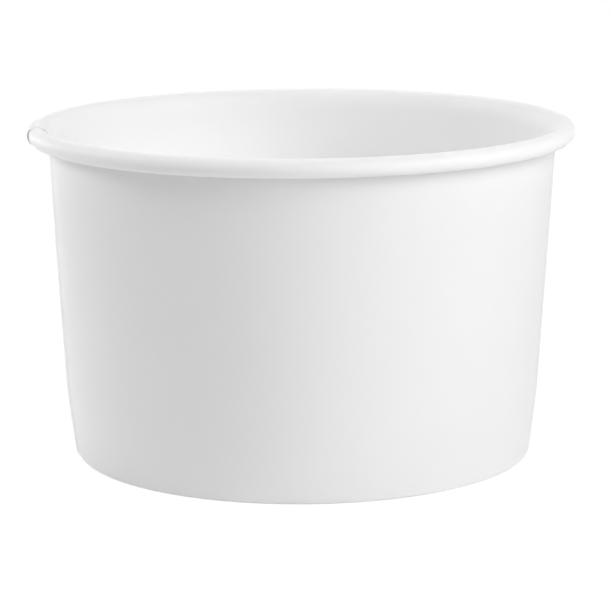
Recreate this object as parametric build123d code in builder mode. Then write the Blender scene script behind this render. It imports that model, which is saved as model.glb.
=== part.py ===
from build123d import *
import os
from math import acos, atan2, cos, degrees, pi, radians, sin, sqrt, tan

# A paper sundae cup: a conical wall of coated paperboard with a rolled rim and a lapped side seam,
# folded at its foot round the skirt of a recessed bottom disc. Millimetres, +Z up. The origin is
# the centre of the foot on the standing plane, and the side seam is at -X.

# Board
wall_board = 0.40
disc_board = 0.30

# Overall sizes
rim_diameter = 96.0
cup_height = 58.8

# Rolled rim: the sheet flares out into the curl, whose cut edge stops short of the wall
curl_diameter = 3.2
flare_radius = 6.0
flare_ease = 0.03
curl_gap = 0.15

# Slope of the wall from upright in degrees, above the bottom disc and below it
wall_taper = 3.74
hem_taper = 7.3
bend_radius = 60.0

# Bottom disc: depth of its underside above the standing plane, and inner radius of its corner
recess_depth = 9.0
corner_radius = 0.4

# Fold at the foot: its inner radius, the room under the skirt's edge in the two-ply seam,
# and the room between the hem's top edge and the disc
fold_radius = 0.05
skirt_clearance = 0.1
hem_clearance = 1.5

# Side seam: azimuth of the inner ply's raw edge in degrees, overlap of the two plies,
# and width over which each ply steps off the other
seam_azimuth = 188.0
lap_width = 6.5
ramp_width = 3.2
ramp_sections = 5

# Levels and angles that follow from the sizes above
wall_slope = radians(wall_taper)
hem_slope = radians(hem_taper)
curl_radius = curl_diameter / 2
curl_centre = (rim_diameter / 2 - curl_radius, cup_height - curl_radius)
disc_top = recess_depth + disc_board
skirt_bottom = 2 * wall_board + skirt_clearance
hem_top = recess_depth - hem_clearance
corner_turn = pi / 2 + hem_slope
corner_start = disc_top - (corner_radius + disc_board) * tan(corner_turn / 2) * cos(hem_slope)
bend_tangent = bend_radius * tan((hem_slope - wall_slope) / 2)
bend_level = corner_start + bend_tangent * cos(hem_slope)


def wall_face(height, depth=0.0):
    """Radius of the wall above its bend, a depth outward of its food side."""
    reach = curl_radius + wall_board + flare_ease - depth
    return curl_centre[0] - reach / cos(wall_slope) - (curl_centre[1] - height) * tan(wall_slope)


def hem_face(height, depth=0.0):
    """Radius of the wall below its bend, a depth outward of its food side."""
    return wall_face(bend_level) - (bend_level - height) * tan(hem_slope) + depth / cos(hem_slope)


def leg_face(height, depth=0.0):
    """Radius of the folded hem leg, a depth inward of the side that meets the skirt."""
    return hem_face(height, -disc_board - depth)


def bend_point(depth):
    """Corner between the wall's line and the hem's line, a depth outward of the food side."""
    shift = depth * (1 / cos(wall_slope) - 1 / cos(hem_slope)) / (tan(hem_slope) - tan(wall_slope))
    return (wall_face(bend_level + shift, depth), bend_level + shift)


def roll_turn(depth):
    """Degrees that a ply rolls through in the curl before it stands curl_gap off the wall."""
    centres = flare_radius - depth - curl_radius
    reach = flare_radius - depth - wall_board - curl_gap
    return 180 + degrees(acos((curl_radius**2 + centres**2 - reach**2) / (2 * curl_radius * centres)))


def sheet_line(depth, floor, roll_radius, turn):
    """Run of one side of the sheet: hem leg, fold, hem, bend, wall, flare and curl."""
    leg_top = (
        leg_face(hem_top) - depth * cos(hem_slope),
        hem_top + depth * sin(hem_slope),
    )
    reach = curl_radius + wall_board + flare_ease - depth
    own_flare = flare_radius - depth
    rise = sqrt((own_flare - roll_radius) ** 2 - (own_flare - reach) ** 2)
    flare_turn = degrees(atan2(rise, own_flare - reach))
    flare_start = (
        curl_centre[0] - reach * cos(wall_slope) - rise * sin(wall_slope),
        curl_centre[1] + reach * sin(wall_slope) - rise * cos(wall_slope),
    )
    fold = fold_radius + depth
    run = FilletPolyline(
        leg_top,
        (leg_face(floor, depth), floor),
        (hem_face(floor, depth), floor),
        bend_point(depth),
        flare_start,
        radius=[fold, fold, bend_radius + depth],
    )
    flare = JernArc(run @ 1, run % 1, own_flare, -flare_turn)
    curl = JernArc(flare @ 1, flare % 1, roll_radius, -turn)
    return run @ 0, curl @ 1


def ply(depth=0.0, floor=wall_board, roll_radius=curl_radius, turn=None):
    """Section of one ply, as a face: its food side, its outer side and its two cut edges."""
    if turn is None:
        turn = roll_turn(depth)
    with BuildSketch() as section:
        with BuildLine():
            hem_inner, rim_inner = sheet_line(depth, floor, roll_radius, turn)
            hem_outer, rim_outer = sheet_line(
                depth + wall_board, floor - wall_board, roll_radius - wall_board, turn
            )
            Line(hem_inner, hem_outer)
            Line(rim_inner, rim_outer)
        make_face()
    return section.sketch


def outer_ply(share):
    """Ply that climbs onto the other one: share is 0 where it leaves the wall and 1 in the lap."""
    return ply(depth=share * wall_board)


def inner_ply(share):
    """Ply that the other one covers: share is 0 where it leaves the wall and 1 in the lap."""
    lift = share * wall_board
    single_turn = roll_turn(0.0)
    lap_turn = single_turn * (curl_radius - wall_board / 2) / (curl_radius + wall_board / 2)
    return ply(
        floor=wall_board + lift,
        roll_radius=curl_radius + lift,
        turn=single_turn + share * (lap_turn - single_turn),
    )


def upright(azimuth):
    """Half plane through the cup's axis: local x is the radius and local y the height."""
    angle = radians(azimuth)
    return Plane(origin=(0, 0, 0), x_dir=(cos(angle), sin(angle), 0), z_dir=(sin(angle), -cos(angle), 0))


def eased(share):
    """Smooth step from 0 to 1."""
    return share * share * (3 - 2 * share)


def ramp(ply_section, start, end):
    """Loft of a ply from the single wall at one azimuth to its place in the lap at another."""
    with BuildPart() as step_off:
        for step in range(ramp_sections):
            share = step / (ramp_sections - 1)
            with BuildSketch(upright(start + share * (end - start))):
                add(ply_section(eased(share)))
        loft()
    return step_off.part


# Azimuths of the seam: the lap lies between its two raw edges, with a ramp outside each
seam_radius = wall_face(cup_height / 2)
lap_angle = degrees(lap_width / seam_radius)
ramp_angle = degrees(ramp_width / seam_radius)
outer_edge = seam_azimuth - lap_angle
front_ramp_end = seam_azimuth + ramp_angle
back_ramp_end = outer_edge - ramp_angle

# One sheet, rolled at the rim, lapped at the side and folded in and up at the foot
with BuildPart() as sidewall:
    with BuildSketch(upright(front_ramp_end)):
        add(ply())
    revolve(axis=Axis.Z, revolution_arc=360 - lap_angle - 2 * ramp_angle)
    with BuildSketch(upright(outer_edge)):
        add(inner_ply(1))
        add(outer_ply(1))
    revolve(axis=Axis.Z, revolution_arc=lap_angle)
    add(ramp(outer_ply, front_ramp_end, seam_azimuth))
    add(ramp(inner_ply, back_ramp_end, outer_edge))

# Disc with a turned-down skirt, gripped between the wall and the hem
with BuildPart() as bottom_disc:
    with BuildSketch(Plane.XZ):
        with BuildLine():
            top = FilletPolyline(
                (0, disc_top),
                (hem_face(disc_top), disc_top),
                (hem_face(skirt_bottom), skirt_bottom),
                radius=corner_radius + disc_board,
            )
            underside = FilletPolyline(
                (0, recess_depth),
                (hem_face(recess_depth, -disc_board), recess_depth),
                (
                    hem_face(skirt_bottom) - disc_board * cos(hem_slope),
                    skirt_bottom + disc_board * sin(hem_slope),
                ),
                radius=corner_radius,
            )
            Line(top @ 0, underside @ 0)
            Line(top @ 1, underside @ 1)
        make_face()
    revolve(axis=Axis.Z)

os.makedirs("parts", exist_ok=True)
sidewall.part.label = "sidewall"
export_step(sidewall.part, "parts/sidewall.step")
bottom_disc.part.label = "bottom_disc"
export_step(bottom_disc.part, "parts/bottom_disc.step")
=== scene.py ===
import cmath
from math import acos, atan2, cos, pi, radians, sin, sqrt, tan

import bmesh
import bpy
from mathutils import Matrix, Vector


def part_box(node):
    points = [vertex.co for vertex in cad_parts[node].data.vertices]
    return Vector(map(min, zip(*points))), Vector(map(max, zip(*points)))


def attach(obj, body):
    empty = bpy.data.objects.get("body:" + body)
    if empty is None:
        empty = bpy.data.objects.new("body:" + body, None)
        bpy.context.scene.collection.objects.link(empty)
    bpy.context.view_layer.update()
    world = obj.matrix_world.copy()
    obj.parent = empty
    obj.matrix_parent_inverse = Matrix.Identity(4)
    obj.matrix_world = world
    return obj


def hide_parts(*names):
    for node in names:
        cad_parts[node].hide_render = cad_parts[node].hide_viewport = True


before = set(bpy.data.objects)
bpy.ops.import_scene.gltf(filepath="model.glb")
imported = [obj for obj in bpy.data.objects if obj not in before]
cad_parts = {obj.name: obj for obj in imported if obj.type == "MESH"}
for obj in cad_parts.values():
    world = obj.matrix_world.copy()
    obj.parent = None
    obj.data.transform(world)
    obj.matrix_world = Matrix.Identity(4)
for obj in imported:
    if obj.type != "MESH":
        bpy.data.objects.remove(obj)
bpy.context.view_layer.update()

# A paper sundae cup on white: one lapped sheet of coated board with a rolled rim, folded at its foot
# round a bottom disc. Metres, in the part's own frame. Points of a section are complex numbers,
# radius + height * 1j, and azimuths run counterclockwise from +X.

wall_low, wall_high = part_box("sidewall")

# Board, with the hair of air that keeps two plies apart
BOARD = 0.00040
DISC_BOARD = 0.00030
AIR = 0.00001
PAPER = BOARD - AIR

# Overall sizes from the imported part, whose seam stands one board proud of the rim
RIM_RADIUS = (wall_high.y - wall_low.y) / 2
HEIGHT = wall_high.z - BOARD

# Rolled rim
CURL_RADIUS = 0.0016
FLARE_RADIUS = 0.0060
FLARE_EASE = 0.00003
CURL_GAP = 0.00015
CURL_CENTRE = complex(RIM_RADIUS - CURL_RADIUS, HEIGHT - CURL_RADIUS)

# Slopes of the wall above and below its bend, and the folded foot
WALL_SLOPE = radians(3.74)
HEM_SLOPE = radians(7.3)
BEND_RADIUS = 0.060
RECESS_DEPTH = 0.0090
CORNER_RADIUS = 0.0004
FOLD_RADIUS = 0.00005
SKIRT_CLEARANCE = 0.0001
HEM_CLEARANCE = 0.0015
DISC_TOP = RECESS_DEPTH + DISC_BOARD
HEM_TOP = RECESS_DEPTH - HEM_CLEARANCE
SKIRT_BOTTOM = 2 * BOARD + SKIRT_CLEARANCE
CORNER_CUT = (CORNER_RADIUS + DISC_BOARD) * tan((pi / 2 + HEM_SLOPE) / 2)
BEND_CUT = BEND_RADIUS * tan((HEM_SLOPE - WALL_SLOPE) / 2)
BEND_LEVEL = DISC_TOP + (BEND_CUT - CORNER_CUT) * cos(HEM_SLOPE)

# Side seam
SEAM_AZIMUTH = radians(188)
LAP_WIDTH = 0.0065
RAMP_WIDTH = 0.0032

# The stiff lap makes the wall dip inward there, more and more up to the rim
SEAM_DIP = 0.00080
DIP_REACH = 0.30

# Rolling squeezes the plies of the rim's lap, sinks the sheet beside the raw edge into a valley,
# and crushes that edge where it crosses the rim's crest
SQUEEZED_BOARD = 0.00030
RIM_VALLEY = 0.00009
CRUSH_WIDTH = 0.0018
CRUSHED_BOARD = 0.00005
CREST_START = 0.55
CREST_SPAN = 0.35

# Knurls that press the hem onto the skirt, on the recess side of the foot
KNURLS = 96
KNURL_DEPTH = 0.00007

# Rows of the sheet's mesh in each stretch of its section, and columns in each stretch of its round
LEG_ROWS = 7
FOLD_ROWS = 6
HEM_ROWS = 4
BEND_ROWS = 4
WALL_ROWS = 12
FLARE_ROWS = 9
CURL_ROWS = 30
FLARE_ROW = LEG_ROWS + 2 * FOLD_ROWS + 1 + HEM_ROWS + BEND_ROWS + WALL_ROWS
CURL_ROW = FLARE_ROW + FLARE_ROWS
LAP_COLUMNS = 8
RAMP_COLUMNS = 12
SINGLE_COLUMNS = 470

# Rows and columns of the disc's mesh
DISC_ROWS = 5
CORNER_ROWS = 8
SKIRT_ROWS = 3
DISC_COLUMNS = 256

# Places of the materials on both pieces, the angle from which an edge looks crisp, and how far
# up or outward a face of the disc looks when it belongs to the side towards the food
OUTSIDE = 0
FOOD_SIDE = 1
RAW_EDGE = 2
CRISP_ANGLE = radians(40)
FOOD_SIDE_TURN = 0.2

# Board's finish: scale and detail of its clouds and fibres, relief and sheen. The share is what
# the fibres take in the blend of the two.
CLOUD_SCALE = 260
CLOUD_DETAIL = 3
FIBRE_STRETCH = 0.35
FIBRE_DETAIL = 5
FIBRE_ROUGHNESS = 0.62
FIBRE_SHARE = 0.5
NOISE_LOW = 0.3
NOISE_HIGH = 0.7
GLOSS_SPREAD = 0.05
RELIEF_STRENGTH = 0.35
BOARD_IOR = 1.45
BOARD_SHEEN = 0.2

# Camera
CAMERA_PLACE = Vector((0, -0.4748, 0.1219))
CAMERA_PITCH = radians(11.464)
CAMERA_YAW = radians(0.048)
CAMERA_ROLL = radians(0.382)
CAMERA_LENS = 160.22
SENSOR_WIDTH = 36
NEAREST_SEEN = 0.01
FARTHEST_SEEN = 30

# Lamps: azimuth from the camera's side towards +X, elevation, distance, width, height and power
LAMPS = {
    "key": (60, 30, 0.9, 0.5, 0.6, 3.72),
    "key_front": (32, 28, 0.9, 0.4, 0.6, 2.09),
    "over_front": (5, 70, 0.9, 0.5, 0.5, 1.26),
    "far_left": (-100, 30, 0.9, 0.35, 0.4, 3.59),
    "left_front": (-60, 25, 0.9, 0.4, 0.5, 0.36),
    "back_left": (-135, 8, 0.9, 0.35, 0.4, 1.25),
    "back_high": (175, 50, 0.9, 0.6, 0.5, 1.66),
}

# Floor: half its side, its paint, its glow where it is seen, and the share of glow over paint
FLOOR_REACH = 6.0
FLOOR_PAINT = 0.90
GLOW_LEVEL = 1.03
GLOW_SHARE = 0.96


def wall_face(height, depth=0.0):
    """Radius of the wall above its bend, a depth outward of its food side."""
    reach = CURL_RADIUS + BOARD + FLARE_EASE - depth
    return CURL_CENTRE.real - reach / cos(WALL_SLOPE) - (CURL_CENTRE.imag - height) * tan(WALL_SLOPE)


def hem_face(height, depth=0.0):
    """Radius of the wall below its bend, a depth outward of its food side."""
    return wall_face(BEND_LEVEL) - (BEND_LEVEL - height) * tan(HEM_SLOPE) + depth / cos(HEM_SLOPE)


def leg_face(height, depth=0.0):
    """Radius of the folded hem leg, a depth inward of the side that meets the skirt."""
    return hem_face(height, -DISC_BOARD - depth)


def bend_corner(depth):
    """Corner between the wall's line and the hem's line, a depth outward of the food side."""
    rise = depth * (1 / cos(WALL_SLOPE) - 1 / cos(HEM_SLOPE)) / (tan(HEM_SLOPE) - tan(WALL_SLOPE))
    return complex(wall_face(BEND_LEVEL + rise, depth), BEND_LEVEL + rise)


def roll_turn(depth):
    """Angle that a ply rolls through in the curl before it stands CURL_GAP off the wall."""
    centres = FLARE_RADIUS - depth - CURL_RADIUS
    reach = FLARE_RADIUS - depth - BOARD - CURL_GAP
    return pi + acos((CURL_RADIUS**2 + centres**2 - reach**2) / (2 * CURL_RADIUS * centres))


def straight(start, end, steps):
    """Points from start to end without the end itself."""
    return [start + (end - start) * step / steps for step in range(steps)]


def arc(centre, start, turn, steps):
    """Points from start round centre through the angle turn, both ends included."""
    return [centre + (start - centre) * cmath.rect(1, turn * step / steps) for step in range(steps + 1)]


def rounded(before, corner, after, radius, steps):
    """Points of the arc that rounds a corner between two straight runs."""
    ahead = (corner - before) / abs(corner - before)
    turn = cmath.phase((after - corner) / ahead)
    start = corner - ahead * radius * tan(abs(turn) / 2)
    side = 1j if turn > 0 else -1j
    return arc(start + ahead * side * radius, start, turn, steps)


def sheet_line(depth, floor, roll_radius, turn):
    """One side of the sheet: hem leg, fold, hem, bend, wall, flare and curl."""
    leg_top = complex(leg_face(HEM_TOP) - depth * cos(HEM_SLOPE), HEM_TOP + depth * sin(HEM_SLOPE))
    leg_foot = complex(leg_face(floor, depth), floor)
    hem_foot = complex(hem_face(floor, depth), floor)
    bend = bend_corner(depth)
    reach = CURL_RADIUS + BOARD + FLARE_EASE - depth
    own_flare = FLARE_RADIUS - depth
    rise = sqrt((own_flare - roll_radius) ** 2 - (own_flare - reach) ** 2)
    up = cmath.rect(1, pi / 2 - WALL_SLOPE)
    flare_start = CURL_CENTRE + up * (reach * 1j - rise)
    flare_centre = flare_start - up * own_flare * 1j
    flare_turn = atan2(rise, own_flare - reach)

    first_fold = rounded(leg_top, leg_foot, hem_foot, FOLD_RADIUS + depth, FOLD_ROWS)
    second_fold = rounded(leg_foot, hem_foot, bend, FOLD_RADIUS + depth, FOLD_ROWS)
    slow_bend = rounded(hem_foot, bend, flare_start, BEND_RADIUS + depth, BEND_ROWS)
    flare = arc(flare_centre, flare_start, -flare_turn, FLARE_ROWS)
    curl = arc(CURL_CENTRE, flare[-1], -turn, CURL_ROWS)
    return (
        straight(leg_top, first_fold[0], LEG_ROWS)
        + first_fold[:-1]
        + straight(first_fold[-1], second_fold[0], 1)
        + second_fold[:-1]
        + straight(second_fold[-1], slow_bend[0], HEM_ROWS)
        + slow_bend[:-1]
        + straight(slow_bend[-1], flare_start, WALL_ROWS)
        + flare[:-1]
        + curl
    )


def eased(share):
    """Smooth step from 0 to 1."""
    share = min(max(share, 0.0), 1.0)
    return share * share * (3 - 2 * share)


def crushed(point, nearness):
    """A point of the food side, pressed down where it is on the rim's crest and near the raw edge."""
    arm = point - CURL_CENTRE
    crest_share = eased((arm.imag / abs(arm) - CREST_START) / CREST_SPAN)
    return point - arm / abs(arm) * nearness * crest_share * (SQUEEZED_BOARD - CRUSHED_BOARD)


def dipped(line, azimuth):
    """One side of the sheet with the seam's dip in its wall, which the flare takes up again."""
    off_seam = (azimuth - SEAM_AZIMUTH + LAP_ANGLE / 2 + pi) % (2 * pi) - pi
    closeness = eased(1 - abs(off_seam) / DIP_REACH)
    top = line[FLARE_ROW].imag
    moved = []
    for row, point in enumerate(line):
        climb = max(point.imag - BEND_LEVEL, 0) / (top - BEND_LEVEL)
        fade = min(max((CURL_ROW - row) / (CURL_ROW - FLARE_ROW), 0), 1)
        moved.append(point - SEAM_DIP * closeness * min(climb, 1) ** 2 * fade)
    return moved


def sheet_section(azimuth):
    """Food side and outer side of the sheet at an azimuth, counted on from its outer raw edge."""
    outer_share = eased((SEAM_AZIMUTH + RAMP_ANGLE - azimuth) / RAMP_ANGLE)
    inner_share = eased((azimuth - (OUTER_EDGE + 2 * pi - RAMP_ANGLE)) / RAMP_ANGLE)
    depth = outer_share * BOARD
    lift = inner_share * BOARD
    single_turn = roll_turn(depth)
    lap_turn = single_turn * (CURL_RADIUS - BOARD / 2) / (CURL_RADIUS + BOARD / 2)
    turn = single_turn + inner_share * (lap_turn - single_turn)
    lap_share = max(outer_share, inner_share)
    rim_paper = PAPER - lap_share * (BOARD - SQUEEZED_BOARD)
    roll_radius = CURL_RADIUS - lap_share * RIM_VALLEY + inner_share * SQUEEZED_BOARD
    food = sheet_line(depth, BOARD + lift, roll_radius, turn)
    outside = sheet_line(depth + PAPER, BOARD + lift - PAPER, roll_radius - rim_paper, turn)
    nearness = eased((azimuth - SEAM_AZIMUTH - 2 * pi + CRUSH_ANGLE) / CRUSH_ANGLE)
    food = dipped([crushed(point, nearness) for point in food], azimuth)
    outside = dipped(outside, azimuth)
    for row in range(1, LEG_ROWS):
        swell = sin(pi * row / LEG_ROWS)
        groove = 0.5 + 0.5 * cos(KNURLS * azimuth)
        outside[row] += KNURL_DEPTH * swell * groove
    return food, outside


# Angles round the cup that the seam's widths take up
SEAM_RADIUS = wall_face(HEIGHT / 2)
LAP_ANGLE = LAP_WIDTH / SEAM_RADIUS
RAMP_ANGLE = RAMP_WIDTH / SEAM_RADIUS
CRUSH_ANGLE = CRUSH_WIDTH / SEAM_RADIUS
OUTER_EDGE = SEAM_AZIMUTH - LAP_ANGLE


def stations():
    """Azimuths of the sheet's columns from one raw edge to the other, closer at the seam."""
    last = SEAM_AZIMUTH + 2 * pi
    marks = [
        (OUTER_EDGE, LAP_COLUMNS),
        (SEAM_AZIMUTH, RAMP_COLUMNS),
        (SEAM_AZIMUTH + RAMP_ANGLE, SINGLE_COLUMNS),
        (OUTER_EDGE + 2 * pi - RAMP_ANGLE, RAMP_COLUMNS),
        (OUTER_EDGE + 2 * pi, LAP_COLUMNS),
    ]
    found = []
    for (start, steps), (end, _) in zip(marks, marks[1:] + [(last, 0)]):
        found += [start + (end - start) * step / steps for step in range(steps)]
    return found + [last]


def place(point, azimuth):
    """A section's point in space."""
    return (point.real * cos(azimuth), point.real * sin(azimuth), point.imag)


def run_lengths(line):
    """Distance along a line at each of its points."""
    lengths = [0.0]
    for a, b in zip(line, line[1:]):
        lengths.append(lengths[-1] + abs(b - a))
    return lengths


def finished(name, mesh, materials):
    """The mesh as an object with soft sides and crisp cut edges."""
    work = bmesh.new()
    work.from_mesh(mesh)
    bmesh.ops.recalc_face_normals(work, faces=work.faces)
    work.to_mesh(mesh)
    work.free()
    mesh.shade_smooth()
    mesh.set_sharp_from_angle(angle=CRISP_ANGLE)
    for material in materials:
        mesh.materials.append(material)
    piece = bpy.data.objects.new(name, mesh)
    bpy.context.collection.objects.link(piece)
    return piece


def sidewall_piece(materials):
    """The lapped sheet as one closed skin: food side, outer side and four cut edges."""
    columns = stations()
    vertices = []
    grain = []
    rows = 0
    for azimuth in columns:
        food, outside = sheet_section(azimuth)
        rows = len(food)
        lengths = run_lengths(food)
        vertices += [place(point, azimuth) for point in food + outside]
        grain += [(azimuth * SEAM_RADIUS, length) for length in lengths * 2]
    faces = []
    kinds = []
    width = 2 * rows
    for column in range(len(columns) - 1):
        here = column * width
        there = here + width
        for side, kind in ((0, FOOD_SIDE), (rows, OUTSIDE)):
            for row in range(side, side + rows - 1):
                faces.append((here + row, there + row, there + row + 1, here + row + 1))
                kinds.append(kind)
        for row in (0, rows - 1):
            faces.append((here + row, there + row, there + row + rows, here + row + rows))
            kinds.append(RAW_EDGE)
    for here in (0, (len(columns) - 1) * width):
        for row in range(rows - 1):
            faces.append((here + row, here + row + 1, here + rows + row + 1, here + rows + row))
            kinds.append(RAW_EDGE)
    mesh = bpy.data.meshes.new("lapped_sheet")
    mesh.from_pydata(vertices, [], faces)
    mesh.polygons.foreach_set("material_index", kinds)
    layout = mesh.uv_layers.new(name="sheet")
    for loop in mesh.loops:
        layout.data[loop.index].uv = grain[loop.vertex_index]
    return finished("lapped_sheet", mesh, materials)


def disc_piece(materials):
    """The bottom disc with its turned-down skirt, a hair inside the wall."""
    edge = complex(hem_face(DISC_TOP) - AIR, DISC_TOP - AIR)
    skirt_foot = complex(hem_face(SKIRT_BOTTOM) - AIR, SKIRT_BOTTOM)
    inner_edge = complex(hem_face(RECESS_DEPTH, -DISC_BOARD) + AIR, RECESS_DEPTH)
    inner_foot = complex(
        hem_face(SKIRT_BOTTOM) - (DISC_BOARD - AIR) * cos(HEM_SLOPE),
        SKIRT_BOTTOM + DISC_BOARD * sin(HEM_SLOPE),
    )
    middle_top = complex(0, DISC_TOP - AIR)
    middle_under = complex(0, RECESS_DEPTH)
    top_corner = rounded(middle_top, edge, skirt_foot, CORNER_RADIUS + DISC_BOARD, CORNER_ROWS)
    under_corner = rounded(middle_under, inner_edge, inner_foot, CORNER_RADIUS, CORNER_ROWS)
    line = (
        straight(middle_top, top_corner[0], DISC_ROWS)
        + top_corner[:-1]
        + straight(top_corner[-1], skirt_foot, SKIRT_ROWS)
        + straight(skirt_foot, inner_foot, 1)
        + straight(inner_foot, under_corner[-1], SKIRT_ROWS)
        + under_corner[:0:-1]
        + straight(under_corner[0], middle_under, DISC_ROWS)
        + [middle_under]
    )
    rings = line[1:-1]
    vertices = [place(line[0], 0), place(line[-1], 0)]
    for column in range(DISC_COLUMNS):
        vertices += [place(point, 2 * pi * column / DISC_COLUMNS) for point in rings]
    faces = []
    count = len(rings)
    for column in range(DISC_COLUMNS):
        here = 2 + column * count
        there = 2 + (column + 1) % DISC_COLUMNS * count
        faces.append((0, here, there))
        faces.append((1, here + count - 1, there + count - 1))
        for row in range(count - 1):
            faces.append((here + row, there + row, there + row + 1, here + row + 1))
    mesh = bpy.data.meshes.new("bottom_board")
    mesh.from_pydata(vertices, [], faces)
    layout = mesh.uv_layers.new(name="sheet")
    for loop in mesh.loops:
        spot = vertices[loop.vertex_index]
        layout.data[loop.index].uv = (spot[0], spot[1] + spot[2])
    piece = finished("bottom_board", mesh, materials)
    for polygon in mesh.polygons:
        middle = polygon.center
        outward = polygon.normal.xy.dot(middle.xy) / max(middle.xy.length, AIR)
        if abs(middle.z - SKIRT_BOTTOM) < DISC_BOARD * sin(HEM_SLOPE):
            polygon.material_index = RAW_EDGE
        elif max(polygon.normal.z, outward) > FOOD_SIDE_TURN:
            polygon.material_index = FOOD_SIDE
    return piece


def board(name, tone, mottle, roughness, fibre_depth, fibre_size):
    """Coated paperboard: cloudy formation, fine fibres along the sheet and a soft sheen."""
    material = bpy.data.materials.new(name)
    material.use_nodes = True
    nodes = material.node_tree.nodes
    links = material.node_tree.links
    shader = nodes["Principled BSDF"]

    sheet = nodes.new("ShaderNodeUVMap")
    sheet.uv_map = "sheet"

    clouds = nodes.new("ShaderNodeTexNoise")
    clouds.inputs["Scale"].default_value = CLOUD_SCALE
    clouds.inputs["Detail"].default_value = CLOUD_DETAIL
    links.new(sheet.outputs["UV"], clouds.inputs["Vector"])

    along = nodes.new("ShaderNodeMapping")
    along.inputs["Scale"].default_value = (FIBRE_STRETCH, 1, 1)
    links.new(sheet.outputs["UV"], along.inputs["Vector"])
    fibres = nodes.new("ShaderNodeTexNoise")
    fibres.inputs["Scale"].default_value = 1 / fibre_size
    fibres.inputs["Detail"].default_value = FIBRE_DETAIL
    fibres.inputs["Roughness"].default_value = FIBRE_ROUGHNESS
    links.new(along.outputs["Vector"], fibres.inputs["Vector"])

    blend = nodes.new("ShaderNodeMix")
    blend.inputs["Factor"].default_value = FIBRE_SHARE
    links.new(clouds.outputs["Fac"], blend.inputs["A"])
    links.new(fibres.outputs["Fac"], blend.inputs["B"])

    tint = nodes.new("ShaderNodeMapRange")
    tint.inputs["From Min"].default_value = NOISE_LOW
    tint.inputs["From Max"].default_value = NOISE_HIGH
    tint.inputs["To Min"].default_value = tone - mottle
    tint.inputs["To Max"].default_value = tone + mottle
    links.new(blend.outputs["Result"], tint.inputs["Value"])
    links.new(tint.outputs["Result"], shader.inputs["Base Color"])

    gloss = nodes.new("ShaderNodeMapRange")
    gloss.inputs["From Min"].default_value = NOISE_LOW
    gloss.inputs["From Max"].default_value = NOISE_HIGH
    gloss.inputs["To Min"].default_value = roughness - GLOSS_SPREAD
    gloss.inputs["To Max"].default_value = roughness + GLOSS_SPREAD
    links.new(fibres.outputs["Fac"], gloss.inputs["Value"])
    links.new(gloss.outputs["Result"], shader.inputs["Roughness"])

    relief = nodes.new("ShaderNodeBump")
    relief.inputs["Strength"].default_value = RELIEF_STRENGTH
    relief.inputs["Distance"].default_value = fibre_depth
    links.new(blend.outputs["Result"], relief.inputs["Height"])
    links.new(relief.outputs["Normal"], shader.inputs["Normal"])

    shader.inputs["IOR"].default_value = BOARD_IOR
    shader.inputs["Specular IOR Level"].default_value = BOARD_SHEEN
    return material


def seen_rays(nodes, links):
    """1 on rays from the camera and on the glossy and transmission rays, 0 on the others."""
    ray = nodes.new("ShaderNodeLightPath")
    glossy = nodes.new("ShaderNodeMath")
    glossy.operation = "MAXIMUM"
    links.new(ray.outputs["Is Camera Ray"], glossy.inputs[0])
    links.new(ray.outputs["Is Glossy Ray"], glossy.inputs[1])
    through = nodes.new("ShaderNodeMath")
    through.operation = "MAXIMUM"
    links.new(glossy.outputs[0], through.inputs[0])
    links.new(ray.outputs["Is Transmission Ray"], through.inputs[1])
    return through.outputs[0]


def white_stage():
    """A white floor that fills the frame, keeps the cup's shadow and can be looked through from below."""
    mesh = bpy.data.meshes.new("floor")
    corners = ((-1, -1), (1, -1), (1, 1), (-1, 1))
    mesh.from_pydata(
        [(side * FLOOR_REACH, end * FLOOR_REACH, 0) for side, end in corners],
        [],
        [(0, 1, 2, 3)],
    )
    floor = bpy.data.objects.new("floor", mesh)
    bpy.context.collection.objects.link(floor)
    floor.location.z = -AIR

    material = bpy.data.materials.new("white_floor")
    material.use_nodes = True
    nodes = material.node_tree.nodes
    links = material.node_tree.links
    nodes.clear()
    output = nodes.new("ShaderNodeOutputMaterial")
    paint = nodes.new("ShaderNodeBsdfDiffuse")
    paint.inputs["Color"].default_value = (FLOOR_PAINT, FLOOR_PAINT, FLOOR_PAINT, 1)
    glow = nodes.new("ShaderNodeEmission")
    glow.inputs["Color"].default_value = (1, 1, 1, 1)
    glow.inputs["Strength"].default_value = GLOW_LEVEL
    seen_share = nodes.new("ShaderNodeMath")
    seen_share.operation = "MULTIPLY"
    seen_share.inputs[1].default_value = GLOW_SHARE
    mixed = nodes.new("ShaderNodeMixShader")
    links.new(seen_rays(nodes, links), seen_share.inputs[0])
    links.new(seen_share.outputs[0], mixed.inputs["Fac"])
    links.new(paint.outputs["BSDF"], mixed.inputs[1])
    links.new(glow.outputs["Emission"], mixed.inputs[2])

    geometry = nodes.new("ShaderNodeNewGeometry")
    clear = nodes.new("ShaderNodeBsdfTransparent")
    one_sided = nodes.new("ShaderNodeMixShader")
    links.new(geometry.outputs["Backfacing"], one_sided.inputs["Fac"])
    links.new(mixed.outputs["Shader"], one_sided.inputs[1])
    links.new(clear.outputs["BSDF"], one_sided.inputs[2])
    links.new(one_sided.outputs["Shader"], output.inputs["Surface"])
    mesh.materials.append(material)


def white_world():
    """White all round to what is seen, mirrored or looked through, and no light of its own."""
    world = bpy.data.worlds.new("studio")
    bpy.context.scene.world = world
    world.use_nodes = True
    nodes = world.node_tree.nodes
    links = world.node_tree.links
    nodes.clear()
    output = nodes.new("ShaderNodeOutputWorld")
    white = nodes.new("ShaderNodeBackground")
    white.inputs["Color"].default_value = (1, 1, 1, 1)
    links.new(seen_rays(nodes, links), white.inputs["Strength"])
    links.new(white.outputs["Background"], output.inputs["Surface"])


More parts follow.
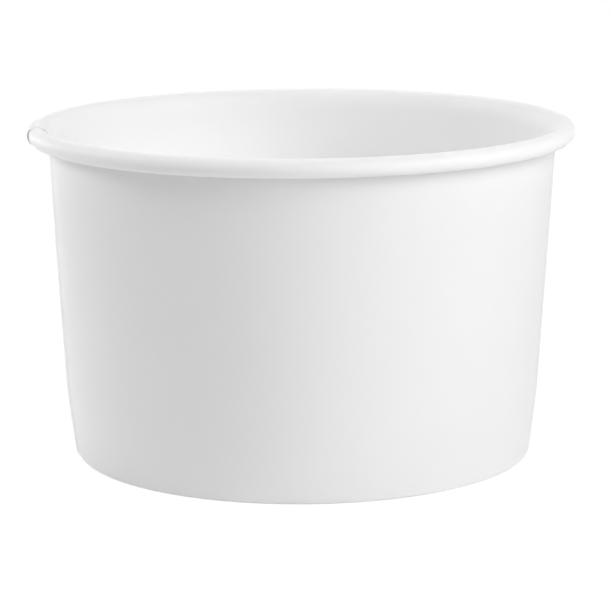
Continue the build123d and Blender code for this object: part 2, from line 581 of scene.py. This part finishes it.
def softbox(name, azimuth, elevation, distance, width, height, power):
    """An area lamp that faces the cup's middle."""
    target = Vector((0, 0, HEIGHT / 2))
    swing = radians(azimuth)
    rise = radians(elevation)
    away = Vector((sin(swing) * cos(rise), -cos(swing) * cos(rise), sin(rise)))
    lamp = bpy.data.lights.new(name, "AREA")
    lamp.shape = "RECTANGLE"
    lamp.size = width
    lamp.size_y = height
    lamp.energy = power
    holder = bpy.data.objects.new(name, lamp)
    bpy.context.collection.objects.link(holder)
    holder.location = target + away * distance
    holder.rotation_euler = (-away).to_track_quat("-Z", "Y").to_euler()


def camera():
    """The photo's camera."""
    data = bpy.data.cameras.new("camera")
    data.sensor_width = SENSOR_WIDTH
    data.lens = CAMERA_LENS
    data.clip_start = NEAREST_SEEN
    data.clip_end = FARTHEST_SEEN
    holder = bpy.data.objects.new("camera", data)
    bpy.context.collection.objects.link(holder)
    aim = Matrix.Rotation(-CAMERA_YAW, 4, "Z") @ Matrix.Rotation(pi / 2 - CAMERA_PITCH, 4, "X")
    holder.matrix_world = Matrix.Translation(CAMERA_PLACE) @ aim @ Matrix.Rotation(-CAMERA_ROLL, 4, "Z")
    bpy.context.scene.camera = holder


outside_board = board(
    "board_outside",
    tone=0.92,
    mottle=0.004,
    roughness=0.55,
    fibre_depth=0.00003,
    fibre_size=0.00030,
)
# The food side's tone is set above the outside's. This is painted light that brightens the inside of the
# cup.
food_board = board(
    "board_food_side",
    tone=0.97,
    mottle=0.003,
    roughness=0.42,
    fibre_depth=0.00002,
    fibre_size=0.00060,
)
# The cut edges are darker than the coated sides. This is partly the board's greyer core and partly
# painted shade for the gap and occlusion between the plies at the lap's edge.
raw_edge_and_shade_board = board(
    "board_raw_edge_painted_shade",
    tone=0.78,
    mottle=0.030,
    roughness=0.85,
    fibre_depth=0.00006,
    fibre_size=0.00012,
)
materials = [outside_board, food_board, raw_edge_and_shade_board]

lapped_sheet = sidewall_piece(materials)
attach(lapped_sheet, "root")
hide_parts("sidewall")

bottom_board = disc_piece(materials)
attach(bottom_board, "root")
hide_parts("bottom_disc")

white_stage()
white_world()
for lamp_name, settings in LAMPS.items():
    softbox(lamp_name, *settings)
camera()

scene = bpy.context.scene
scene.view_settings.view_transform = "Standard"
